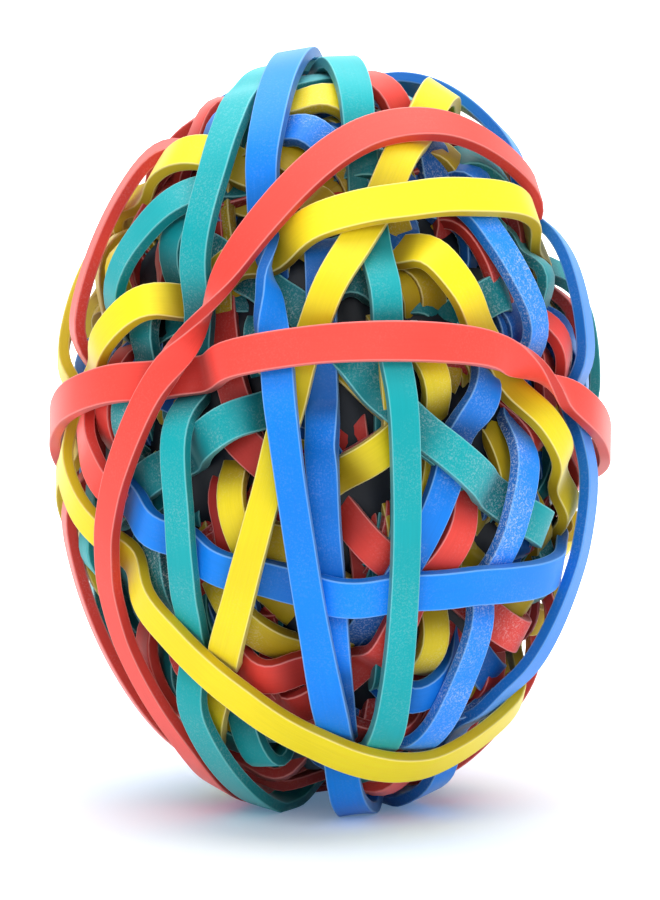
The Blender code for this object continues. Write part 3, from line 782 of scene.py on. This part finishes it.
def band_tree():
    """Nodes that sweep a band's section, a rectangle with small round edges, along its mid-line."""
    if "band_sweep" in bpy.data.node_groups:
        return bpy.data.node_groups["band_sweep"]
    tree = bpy.data.node_groups.new("band_sweep", "GeometryNodeTree")
    input_socket(tree, "Geometry", "NodeSocketGeometry")
    input_socket(tree, "Section", "NodeSocketObject")
    input_socket(tree, "Thickness", "NodeSocketFloat", 0.0012)
    input_socket(tree, "Edge Radius", "NodeSocketFloat", 0.00012)
    input_socket(tree, "Edge Support", "NodeSocketFloat", 0.00014)
    input_socket(tree, "Material", "NodeSocketMaterial")
    tree.interface.new_socket("Geometry", in_out="OUTPUT", socket_type="NodeSocketGeometry")
    given = tree.nodes.new("NodeGroupInput").outputs
    add = tree.nodes.new
    link = tree.links.new

    run = add("GeometryNodeMeshToCurve")
    link(given["Geometry"], run.inputs["Mesh"])
    along = add("GeometryNodeSplineParameter").outputs["Length"]
    position = add("GeometryNodeInputPosition").outputs[0]
    line = stored(tree, run.outputs["Curve"], "middle", "FLOAT_VECTOR", position)
    line = stored(tree, line, "along", "FLOAT", along)

    section = add("GeometryNodeObjectInfo")
    link(given["Section"], section.inputs["Object"])
    outline = add("GeometryNodeMeshToCurve")
    link(section.outputs["Geometry"], outline.inputs["Mesh"])

    sweep = add("GeometryNodeCurveToMesh")
    link(line, sweep.inputs["Curve"])
    link(outline.outputs["Curve"], sweep.inputs["Profile Curve"])

    parts = {}
    for name in ("corner", "arc", "inset"):
        parts[name] = add("ShaderNodeSeparateXYZ")
        link(named_attribute(tree, name, "FLOAT_VECTOR"), parts[name].inputs[0])
    half_width = named_attribute(tree, "half_width", "FLOAT")
    half_thickness = math_node(tree, "MULTIPLY", given["Thickness"], 0.5)
    offsets = []
    for axis, half in (("X", half_width), ("Y", half_thickness)):
        straight = math_node(tree, "SUBTRACT", half, given["Edge Radius"])
        straight = math_node(tree, "MULTIPLY", straight, parts["corner"].outputs[axis])
        arc = math_node(tree, "MULTIPLY", given["Edge Radius"], parts["arc"].outputs[axis])
        inset = math_node(tree, "MULTIPLY", given["Edge Support"], parts["inset"].outputs[axis])
        rounded = math_node(tree, "ADD", straight, arc)
        offsets.append(math_node(tree, "ADD", rounded, inset))
    across = scaled(tree, named_attribute(tree, "across", "FLOAT_VECTOR"), offsets[0])
    up = scaled(tree, named_attribute(tree, "up", "FLOAT_VECTOR"), offsets[1])
    middle = named_attribute(tree, "middle", "FLOAT_VECTOR")
    place = joined(tree, "ShaderNodeVectorMath", "ADD", middle, across)
    place = joined(tree, "ShaderNodeVectorMath", "ADD", place, up)
    moved = add("GeometryNodeSetPosition")
    link(sweep.outputs["Mesh"], moved.inputs["Geometry"])
    link(place, moved.inputs["Position"])

    where = add("ShaderNodeCombineXYZ")
    link(math_node(tree, "DIVIDE", offsets[0], half_width), where.inputs["X"])
    link(math_node(tree, "DIVIDE", offsets[1], half_thickness), where.inputs["Y"])
    link(named_attribute(tree, "along", "FLOAT"), where.inputs["Z"])
    marked = stored(tree, moved.outputs["Geometry"], "band_place", "FLOAT_VECTOR", where.outputs[0])

    shaded = add("GeometryNodeSetShadeSmooth")
    link(marked, shaded.inputs["Geometry"])
    real = add("GeometryNodeRealizeInstances")
    link(shaded.outputs["Geometry"], real.inputs["Geometry"])
    finished = add("GeometryNodeSetMaterial")
    link(real.outputs["Geometry"], finished.inputs["Geometry"])
    link(given["Material"], finished.inputs["Material"])
    link(finished.outputs["Geometry"], add("NodeGroupOutput").inputs["Geometry"])
    return tree


def section_object(corner_points):
    """The outline of a band's section: four round corners with a point beside each on the flat faces.

    With one point a corner, the inner face, which is then never seen, has no point beside its corners.
    """
    shares = np.linspace(0, 1, corner_points) if corner_points > 1 else (0.5,)
    corners, arcs, insets = [], [], []
    for quarter in range(4):
        start = quarter * math.pi / 2
        first, *points, last = [
            np.array((math.cos(turn), math.sin(turn), 0))
            for turn in (start, *(start + share * math.pi / 2 for share in shares), start + math.pi / 2)
        ]
        beside = [(first, -last), *((point, np.zeros(3)) for point in points), (last, -first)]
        for arc, inset in beside:
            if corner_points == 1 and round(arc[1]) == -1 and inset.any():
                continue
            corners.append(np.round(first + last))
            arcs.append(arc)
            insets.append(inset)
    count = len(corners)
    places = (np.array(corners) + (np.array(arcs) + np.array(insets)) * RAW_CORNER) * RAW_SECTION
    mesh = bpy.data.meshes.new("band_section")
    mesh.from_pydata(places.tolist(), [(place, (place + 1) % count) for place in range(count)], [])
    for name, values in (("corner", corners), ("arc", arcs), ("inset", insets)):
        attribute = mesh.attributes.new(name, "FLOAT_VECTOR", "POINT")
        attribute.data.foreach_set("vector", np.array(values, np.float32).ravel())
    made = bpy.data.objects.new("band_section", mesh)
    bpy.context.scene.collection.objects.link(made)
    return made


def pressed_foot(points):
    """The points after the foot is pressed flat on the floor, the surface most and what lies deeper less."""
    half = half_sizes()
    middle = ball_middle()
    near = np.minimum((((points[:, :2] - middle[:2]) / half[:2]) ** 2).sum(axis=1), 1)
    surface = middle[2] - half[2] * np.sqrt(1 - near)
    fade = np.clip(1 - (points[:, 2] - surface) / PRESS_REACH, 0, 1)
    raised = points[:, 2] + np.maximum(0, -FOOT_PRESS - surface) * fade
    return np.column_stack((points[:, :2], np.maximum(raised, 0)))


def swept_bands(name, lays, settings, material, corner_points):
    """One piece made of these bands."""
    count = STATIONS
    mesh = bpy.data.meshes.new(name + "_lines")
    points = np.concatenate([lay.points for lay in lays])
    edges = []
    for number in range(len(lays)):
        edges += [(number * count + place, number * count + (place + 1) % count) for place in range(count)]
    mesh.from_pydata(points.tolist(), edges, [])
    for key, kind, field, values in (
        ("across", "FLOAT_VECTOR", "vector", [lay.across for lay in lays]),
        ("up", "FLOAT_VECTOR", "vector", [lay.up for lay in lays]),
        ("half_width", "FLOAT", "value", [lay.half_widths for lay in lays]),
        ("tone", "FLOAT", "value", [np.full(count, lay.tone) for lay in lays]),
        ("dust", "FLOAT", "value", [np.full(count, lay.dust) for lay in lays]),
        ("shade", "FLOAT", "value", [lay.shades for lay in lays]),
    ):
        attribute = mesh.attributes.new(key, kind, "POINT")
        attribute.data.foreach_set(field, np.concatenate(values).astype(np.float32).ravel())
    lines = bpy.data.objects.new(name + "_lines", mesh)
    bpy.context.scene.collection.objects.link(lines)
    section = section_object(corner_points)
    tree = band_tree()
    modifier = lines.modifiers.new("sweep", "NODES")
    modifier.node_group = tree
    wanted = {
        "Section": section,
        "Thickness": settings.thickness,
        "Edge Radius": settings.edge_radius,
        "Edge Support": settings.edge_support,
        "Material": material,
    }
    for item in tree.interface.items_tree:
        if item.item_type == "SOCKET" and item.in_out == "INPUT" and item.name in wanted:
            modifier[item.identifier] = wanted[item.name]
    bpy.context.view_layer.update()
    graph = bpy.context.evaluated_depsgraph_get()
    swept = bpy.data.meshes.new_from_object(lines.evaluated_get(graph), depsgraph=graph)
    lines.modifiers.remove(modifier)
    bpy.data.objects.remove(lines)
    bpy.data.objects.remove(section)
    swept.name = name
    places = np.empty(len(swept.vertices) * 3, np.float32)
    swept.vertices.foreach_get("co", places)
    swept.vertices.foreach_set("co", pressed_foot(places.reshape(-1, 3)).astype(np.float32).ravel())
    shape = bmesh.new()
    shape.from_mesh(swept)
    bmesh.ops.recalc_face_normals(shape, faces=shape.faces)
    shape.to_mesh(swept)
    shape.free()
    for key in ("across", "up", "half_width", "corner", "arc", "inset", "middle", "along"):
        if key in swept.attributes:
            swept.attributes.remove(swept.attributes[key])
    piece = bpy.data.objects.new(name, swept)
    bpy.context.scene.collection.objects.link(piece)
    return piece


# Rubber

# Painted highlights: the lighter tone painted along the cut edges of each colour, and painted sheen on faces
# that are seen at a slant
PAINTED_EDGE_HIGHLIGHTS = {
    "red": (1.0, 0.42, 0.40),
    "yellow": (1.0, 0.93, 0.45),
    "teal": (0.30, 0.80, 0.82),
    "blue": (0.32, 0.62, 1.0),
}
# Painted sheen of the core, on its faces seen at a slant
CORE_PAINTED_SHEEN = (0.10, 0.30, 0.40)
# How much painted highlight goes along the edges, and over which facing and how strongly the painted sheen
# comes in on slanted faces
RIM_PAINTED_HIGHLIGHT_SHARE = 0.42
PAINTED_SHEEN_FROM = 0.55
PAINTED_SHEEN_TO = 0.95
PAINTED_SHEEN_SHARE = 0.40
# How much the dust shows, and how its amount grows
DUST_SHARE = 0.62
DUST_POWER = 1.7

# Painted shade: what the narrow side faces and the deep bands are multiplied by, to darken them as if shaded
SIDE_PAINTED_SHADE_TINT = (0.50, 0.42, 0.42)
SIDE_PAINTED_SHADE_SHARE = 0.75
DEEP_PAINTED_SHADE_TINT = (0.42, 0.36, 0.38)

ROUGHNESS = 0.46
DUSTY_ROUGHNESS = 0.35
BUMP_STRENGTH = 0.16
BUMP_HEIGHT = 0.00006
RUBBER_IOR = 1.50
RUBBER_SPECULAR = 0.22
SHEEN = 0.03
SHEEN_ROUGHNESS = 0.5

# How many features of each pattern there are in a metre
SPECKS = 4600
FINE_SPECKS = 9000
DUST_PATCHES = 130
PORES = 3800
SLOW_TONES = 70
STREAKS = (("X", 9.0), ("Y", 4.0), ("Z", 160.0))
TONE_CHANGE = 0.10


def shader_tree(name, inputs, outputs):
    """A shader node group with these inputs and outputs, each a name, a kind and perhaps a default."""
    tree = bpy.data.node_groups.new(name, "ShaderNodeTree")
    for way, sockets in (("INPUT", inputs), ("OUTPUT", outputs)):
        for socket_name, kind, *default in sockets:
            made = tree.interface.new_socket(socket_name, in_out=way, socket_type="NodeSocket" + kind)
            if default:
                made.default_value = default[0]
    return tree, tree.nodes.new("NodeGroupInput").outputs, tree.nodes.new("NodeGroupOutput").inputs


def noise(tree, vector, scale, detail=2.0, roughness=0.5):
    node = tree.nodes.new("ShaderNodeTexNoise")
    node.inputs["Scale"].default_value = scale
    node.inputs["Detail"].default_value = detail
    node.inputs["Roughness"].default_value = roughness
    tree.links.new(vector, node.inputs["Vector"])
    return node.outputs["Fac"]


def ramp(tree, value, low, high, to_low=0.0, to_high=1.0):
    node = tree.nodes.new("ShaderNodeMapRange")
    node.interpolation_type = "SMOOTHSTEP"
    for name, number in (("From Min", low), ("From Max", high), ("To Min", to_low), ("To Max", to_high)):
        node.inputs[name].default_value = number
    tree.links.new(value, node.inputs["Value"])
    return node.outputs["Result"]


def mixed(tree, blend, factor, one, other):
    """Two colours mixed. A colour given as numbers is set on the node."""
    node = tree.nodes.new("ShaderNodeMix")
    node.data_type = "RGBA"
    node.blend_type = blend
    places = [put for put in node.inputs if put.enabled]
    for put, value in zip(places, (factor, one, other)):
        if isinstance(value, (int, float)):
            put.default_value = value
        elif isinstance(value, tuple):
            put.default_value = (*value, 1)
        else:
            tree.links.new(value, put)
    return next(out for out in node.outputs if out.enabled)


def dust_group():
    """Powder that clings in specks, more in some patches than in others."""
    if "rubber_dust" in bpy.data.node_groups:
        return bpy.data.node_groups["rubber_dust"]
    inputs = (("Place", "Vector"), ("Amount", "Float", 0.3))
    tree, given, result = shader_tree("rubber_dust", inputs, (("Mask", "Float"),))
    specks = ramp(tree, noise(tree, given["Place"], SPECKS, 2, 0.6), 0.52, 0.62)
    fine = ramp(tree, noise(tree, given["Place"], FINE_SPECKS, 1, 0.5), 0.46, 0.62)
    patches = ramp(tree, noise(tree, given["Place"], DUST_PATCHES, 3, 0.55), 0.36, 0.66)
    specks = math_node(tree, "MULTIPLY", specks, 0.75)
    both = math_node(tree, "ADD", specks, math_node(tree, "MULTIPLY", fine, 0.30))
    spread = math_node(tree, "MULTIPLY", both, patches)
    strength = math_node(tree, "POWER", given["Amount"], DUST_POWER)
    tree.links.new(math_node(tree, "MULTIPLY", spread, strength), result["Mask"])
    return tree


def rim_group():
    """Two masks: one along a band's four long edges, where the painted highlight goes, and one on its two
    narrow side faces, where the painted shade goes.
    """
    if "rubber_rim" in bpy.data.node_groups:
        return bpy.data.node_groups["rubber_rim"]
    outputs = (("Rim", "Float"), ("Side", "Float"))
    tree, given, result = shader_tree("rubber_rim", (("Band Place", "Vector"),), outputs)
    parts = tree.nodes.new("ShaderNodeSeparateXYZ")
    tree.links.new(given["Band Place"], parts.inputs[0])
    across = math_node(tree, "ABSOLUTE", parts.outputs["X"])
    up = math_node(tree, "ABSOLUTE", parts.outputs["Y"])
    near_side = ramp(tree, across, 0.89, 0.96)
    near_face = ramp(tree, up, 0.66, 0.92)
    tree.links.new(math_node(tree, "MULTIPLY", near_side, near_face), result["Rim"])
    tree.links.new(ramp(tree, across, 0.965, 0.995), result["Side"])
    return tree


def grain_group():
    """The surface of cut rubber: fine lines along the band, a low unevenness and a slow change of tone."""
    if "rubber_grain" in bpy.data.node_groups:
        return bpy.data.node_groups["rubber_grain"]
    inputs = (("Place", "Vector"), ("Band Place", "Vector"), ("Tone", "Float", 0.0))
    tree, given, result = shader_tree("rubber_grain", inputs, (("Brightness", "Float"), ("Height", "Float")))
    parts = tree.nodes.new("ShaderNodeSeparateXYZ")
    tree.links.new(given["Band Place"], parts.inputs[0])
    lines = tree.nodes.new("ShaderNodeCombineXYZ")
    for axis, size in STREAKS:
        tree.links.new(math_node(tree, "MULTIPLY", parts.outputs[axis], size), lines.inputs[axis])
    streaks = noise(tree, lines.outputs[0], 1.0, 3, 0.6)
    pores = noise(tree, given["Place"], PORES, 3, 0.6)
    slow = ramp(tree, noise(tree, given["Place"], SLOW_TONES, 2, 0.5), 0.3, 0.7, -0.06, 0.06)
    tone = math_node(tree, "MULTIPLY", given["Tone"], TONE_CHANGE)
    change = math_node(tree, "ADD", slow, ramp(tree, streaks, 0.3, 0.7, -0.03, 0.03))
    tree.links.new(math_node(tree, "ADD", math_node(tree, "ADD", change, tone), 1.0), result["Brightness"])
    streaks = math_node(tree, "MULTIPLY", streaks, 0.5)
    tree.links.new(math_node(tree, "ADD", streaks, math_node(tree, "MULTIPLY", pores, 0.5)), result["Height"])
    return tree


def attribute_output(tree, name, output):
    node = tree.nodes.new("ShaderNodeAttribute")
    node.attribute_type = "GEOMETRY"
    node.attribute_name = name
    return node.outputs[output]


def placed_group(tree, group, **values):
    node = tree.nodes.new("ShaderNodeGroup")
    node.node_tree = group
    for name, value in values.items():
        put = node.inputs[name.replace("_", " ").title()]
        if isinstance(value, (int, float)):
            put.default_value = value
        else:
            tree.links.new(value, put)
    return node.outputs


def rubber(name, colour, pale, dust):
    """Matt rubber of one colour, dusty in patches, with painted highlights along its cut edges, painted sheen
    on faces seen at a slant, and painted shade on its side faces and where it lies deep.
    """
    if name in bpy.data.materials:
        return bpy.data.materials[name]
    material = bpy.data.materials.new(name)
    material.use_nodes = True
    material.diffuse_color = (*colour, 1)
    tree = material.node_tree
    surface = tree.nodes["Principled BSDF"]
    place = tree.nodes.new("ShaderNodeTexCoord").outputs["Object"]
    band_place = attribute_output(tree, "band_place", "Vector")
    grain = placed_group(
        tree, grain_group(), place=place, band_place=band_place, tone=attribute_output(tree, "tone", "Fac")
    )
    rim = placed_group(tree, rim_group(), band_place=band_place)
    powder = placed_group(tree, dust_group(), place=place, amount=attribute_output(tree, "dust", "Fac"))
    grey = tree.nodes.new("ShaderNodeCombineColor")
    for channel in ("Red", "Green", "Blue"):
        tree.links.new(grain["Brightness"], grey.inputs[channel])
    shade = ramp(tree, attribute_output(tree, "shade", "Fac"), 0.0, 1.0)
    base = mixed(tree, "MULTIPLY", 1.0, colour, grey.outputs[0])
    # Painted shade on the narrow side faces
    base = mixed(tree, "MULTIPLY", math_node(tree, "MULTIPLY", rim["Side"], SIDE_PAINTED_SHADE_SHARE), base, SIDE_PAINTED_SHADE_TINT)
    # Painted shade on bands that lie deep in the gaps
    base = mixed(tree, "MULTIPLY", shade, base, DEEP_PAINTED_SHADE_TINT)
    # Painted highlight along the band's four long edges
    base = mixed(tree, "MIX", math_node(tree, "MULTIPLY", rim["Rim"], RIM_PAINTED_HIGHLIGHT_SHARE), base, pale)
    # Painted sheen: faces seen at a slant are mixed towards the pale colour
    turned = tree.nodes.new("ShaderNodeLayerWeight")
    turned.inputs["Blend"].default_value = 0.5
    slant = ramp(tree, turned.outputs["Facing"], PAINTED_SHEEN_FROM, PAINTED_SHEEN_TO)
    base = mixed(tree, "MIX", math_node(tree, "MULTIPLY", slant, PAINTED_SHEEN_SHARE), base, pale)
    base = mixed(tree, "MIX", math_node(tree, "MULTIPLY", powder["Mask"], DUST_SHARE), base, dust)
    tree.links.new(base, surface.inputs["Base Color"])
    rough = math_node(tree, "ADD", math_node(tree, "MULTIPLY", powder["Mask"], DUSTY_ROUGHNESS), ROUGHNESS)
    tree.links.new(rough, surface.inputs["Roughness"])
    bump = tree.nodes.new("ShaderNodeBump")
    bump.inputs["Strength"].default_value = BUMP_STRENGTH
    bump.inputs["Distance"].default_value = BUMP_HEIGHT
    tree.links.new(grain["Height"], bump.inputs["Height"])
    tree.links.new(bump.outputs["Normal"], surface.inputs["Normal"])
    surface.inputs["IOR"].default_value = RUBBER_IOR
    surface.inputs["Specular IOR Level"].default_value = RUBBER_SPECULAR
    surface.inputs["Sheen Weight"].default_value = SHEEN
    surface.inputs["Sheen Roughness"].default_value = SHEEN_ROUGHNESS
    return material


def rubber_of(colour):
    """The rubber of the bands of one colour."""
    colours = bpy.context.scene.ball_colours
    return rubber("dusty_" + colour, tuple(getattr(colours, colour)), PAINTED_EDGE_HIGHLIGHTS[colour], tuple(colours.dust))


class BALL_OT_wind_outer_bands(bpy.types.Operator):
    """Makes each band that the plain solids hold, smooth, twisted and pressed under the bands over it."""

    bl_idname = "ball.wind_outer_bands"
    bl_label = "Wind Outer Bands"

    def execute(self, context):
        settings = context.scene.ball_bands
        outer, _ = wound_bands(settings)
        for name, lay in outer.items():
            material = rubber_of(lay.colour)
            piece = swept_bands("band_" + name, [lay], settings, material, OUTER_CORNER_POINTS)
            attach(piece, "root")
            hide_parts(name)
        return {"FINISHED"}


class BALL_OT_wind_gap_bands(bpy.types.Operator):
    """Makes the bands that show in the gaps between the outer bands, one piece for each colour."""

    bl_idname = "ball.wind_gap_bands"
    bl_label = "Wind Gap Bands"

    def execute(self, context):
        settings = context.scene.ball_bands
        _, under = wound_bands(settings)
        for colour in COLOUR_NAMES:
            lays = [lay for lay in under if lay.colour == colour]
            material = rubber_of(colour)
            piece = swept_bands("gap_bands_" + colour, lays, settings, material, GAP_CORNER_POINTS)
            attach(piece, "root")
            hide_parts("inner_winding")
        return {"FINISHED"}


CORE_ROUNDNESS = 5
CORE_RIPPLE = 0.0004
CORE_WAVES = (37.0, 23.0, 11.0)


class BALL_OT_fill_core(bpy.types.Operator):
    """Makes the mass of wound rubber under all the bands that can be seen, near black as painted shade for
    the deep gaps.
    """

    bl_idname = "ball.fill_core"
    bl_label = "Fill Core"

    def execute(self, context):
        settings = context.scene.ball_bands
        colours = context.scene.ball_colours
        shape = bmesh.new()
        bmesh.ops.create_icosphere(shape, subdivisions=CORE_ROUNDNESS, radius=1)
        size = half_sizes() - settings.core_depth
        directions = np.array([vertex.co for vertex in shape.verts])
        ripple = CORE_RIPPLE * np.sin(directions @ np.array(CORE_WAVES))
        points = ball_middle() + directions * (size + ripple[:, None])
        for vertex, place in zip(shape.verts, points):
            vertex.co = place
        mesh = bpy.data.meshes.new("wound_core")
        shape.to_mesh(mesh)
        shape.free()
        mesh.shade_smooth()
        mesh.materials.append(rubber("dusty_inner", tuple(colours.core), CORE_PAINTED_SHEEN, tuple(colours.dust)))
        piece = bpy.data.objects.new("wound_core", mesh)
        context.scene.collection.objects.link(piece)
        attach(piece, "root")
        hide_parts("inner_winding")
        return {"FINISHED"}


# The stage

FLOOR_SIZE = 6
FLOOR_ROUGHNESS = 0.9
FLOOR_SPECULAR = 0.1
WHITE = (1.0, 1.0, 1.0)

# Painted shadow: the floor's own glow, which only the camera sees, is white far from the ball and fades to a
# dim bluish tint near its foot, where it darkens and tints the floor
PAINTED_SHADOW_GLOW = (0.08, 0.14, 0.22)
SHADOW_TO = 0.045
WHITE_FROM = 0.13
SKY_COLOUR = (0.97, 0.985, 1.0)

# Each soft lamp: its name, its place, its width and the setting that gives its power
LAMPS = (
    ("top_lamp", (0.02, 0.14, 0.60), 0.85, "top_power"),
    ("left_lamp", (-0.24, -0.62, 0.58), 0.45, "side_power"),
    ("right_lamp", (0.24, -0.62, 0.58), 0.45, "side_power"),
)
SENSOR = 24


def is_seen(tree):
    """One where the camera sees a surface, directly, in a gloss or through glass."""
    path = tree.nodes.new("ShaderNodeLightPath").outputs
    first = math_node(tree, "MAXIMUM", path["Is Camera Ray"], path["Is Glossy Ray"])
    return math_node(tree, "MAXIMUM", first, path["Is Transmission Ray"])


def soft_lamp(name, place, aim, size, power):
    data = bpy.data.lights.new(name, "AREA")
    data.shape = "DISK"
    data.size = size
    data.energy = power
    lamp = bpy.data.objects.new(name, data)
    lamp.location = place
    lamp.rotation_euler = (Vector(aim) - Vector(place)).to_track_quat("-Z", "Y").to_euler()
    bpy.context.scene.collection.objects.link(lamp)


class BALL_OT_set_stage(bpy.types.Operator):
    """Sets up the pale floor, the soft lamps, the plain sky and the camera."""

    bl_idname = "ball.set_stage"
    bl_label = "Set Stage"

    def execute(self, context):
        settings = context.scene.ball_stage
        scene = context.scene
        bpy.ops.mesh.primitive_plane_add(size=FLOOR_SIZE, location=(0, 0, 0))
        floor = context.active_object
        floor.name = "floor"
        material = bpy.data.materials.new("floor_white")
        material.use_nodes = True
        tree = material.node_tree
        surface = tree.nodes["Principled BSDF"]
        surface.inputs["Base Color"].default_value = (*settings.floor_colour, 1)
        surface.inputs["Roughness"].default_value = FLOOR_ROUGHNESS
        surface.inputs["Specular IOR Level"].default_value = FLOOR_SPECULAR
        place = tree.nodes.new("ShaderNodeTexCoord").outputs["Object"]
        away = tree.nodes.new("ShaderNodeVectorMath")
        away.operation = "LENGTH"
        tree.links.new(place, away.inputs[0])
        # Painted shadow: near the ball the floor's glow is dim and bluish
        far = ramp(tree, away.outputs["Value"], SHADOW_TO, WHITE_FROM)
        tree.links.new(mixed(tree, "MIX", far, PAINTED_SHADOW_GLOW, WHITE), surface.inputs["Emission Color"])
        tree.links.new(is_seen(tree), surface.inputs["Emission Strength"])
        floor.data.materials.append(material)

        world = bpy.data.worlds.new("sky")
        scene.world = world
        world.use_nodes = True
        tree = world.node_tree
        tree.nodes.clear()
        output = tree.nodes.new("ShaderNodeOutputWorld")
        seen = tree.nodes.new("ShaderNodeBackground")
        light = tree.nodes.new("ShaderNodeBackground")
        seen.inputs["Color"].default_value = (*WHITE, 1)
        light.inputs["Color"].default_value = (*SKY_COLOUR, 1)
        light.inputs["Strength"].default_value = settings.sky_strength
        both = tree.nodes.new("ShaderNodeMixShader")
        tree.links.new(is_seen(tree), both.inputs[0])
        tree.links.new(light.outputs[0], both.inputs[1])
        tree.links.new(seen.outputs[0], both.inputs[2])
        tree.links.new(both.outputs[0], output.inputs["Surface"])

        middle = Vector(ball_middle())
        for name, place, size, power in LAMPS:
            soft_lamp(name, place, middle, size, getattr(settings, power))

        data = bpy.data.cameras.new("camera")
        data.sensor_fit = "VERTICAL"
        data.sensor_width = SENSOR
        data.sensor_height = SENSOR
        data.lens = SENSOR * settings.camera_distance / settings.view_height
        camera = bpy.data.objects.new("camera", data)
        back = Vector((0, -math.cos(settings.camera_rise), math.sin(settings.camera_rise)))
        rise = Vector((0, math.sin(settings.camera_rise), math.cos(settings.camera_rise)))
        aim = middle - rise * settings.view_drop
        camera.location = aim + back * settings.camera_distance
        camera.rotation_euler = (-back).to_track_quat("-Z", "Y").to_euler()
        scene.collection.objects.link(camera)
        scene.camera = camera
        scene.view_settings.view_transform = "Standard"
        return {"FINISHED"}


class BALL_PT_panel(bpy.types.Panel):
    """Lists the sizes, the colours and the steps of making the ball."""

    bl_idname = "BALL_PT_panel"
    bl_label = "Band Ball"
    bl_space_type = "VIEW_3D"
    bl_region_type = "UI"
    bl_category = "Band Ball"

    def draw(self, context):
        scene = context.scene
        for settings, steps in (
            (scene.ball_bands, (BALL_OT_wind_outer_bands, BALL_OT_wind_gap_bands, BALL_OT_fill_core)),
            (scene.ball_colours, ()),
            (scene.ball_stage, (BALL_OT_set_stage,)),
        ):
            box = self.layout.box()
            for name in settings.__annotations__:
                box.prop(settings, name)
            for step in steps:
                box.operator(step.bl_idname)


CLASSES = (
    BandSettings,
    RubberColours,
    StageSettings,
    BALL_OT_wind_outer_bands,
    BALL_OT_wind_gap_bands,
    BALL_OT_fill_core,
    BALL_OT_set_stage,
    BALL_PT_panel,
)


def register():
    for made in CLASSES:
        bpy.utils.register_class(made)
    bpy.types.Scene.ball_bands = PointerProperty(type=BandSettings)
    bpy.types.Scene.ball_colours = PointerProperty(type=RubberColours)
    bpy.types.Scene.ball_stage = PointerProperty(type=StageSettings)


def unregister():
    del bpy.types.Scene.ball_stage
    del bpy.types.Scene.ball_colours
    del bpy.types.Scene.ball_bands
    for made in reversed(CLASSES):
        bpy.utils.unregister_class(made)


def main():
    register()
    bpy.ops.ball.set_stage()
    bpy.ops.ball.wind_outer_bands()
    bpy.ops.ball.wind_gap_bands()
    bpy.ops.ball.fill_core()
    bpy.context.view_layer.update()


if __name__ == "__main__":
    main()
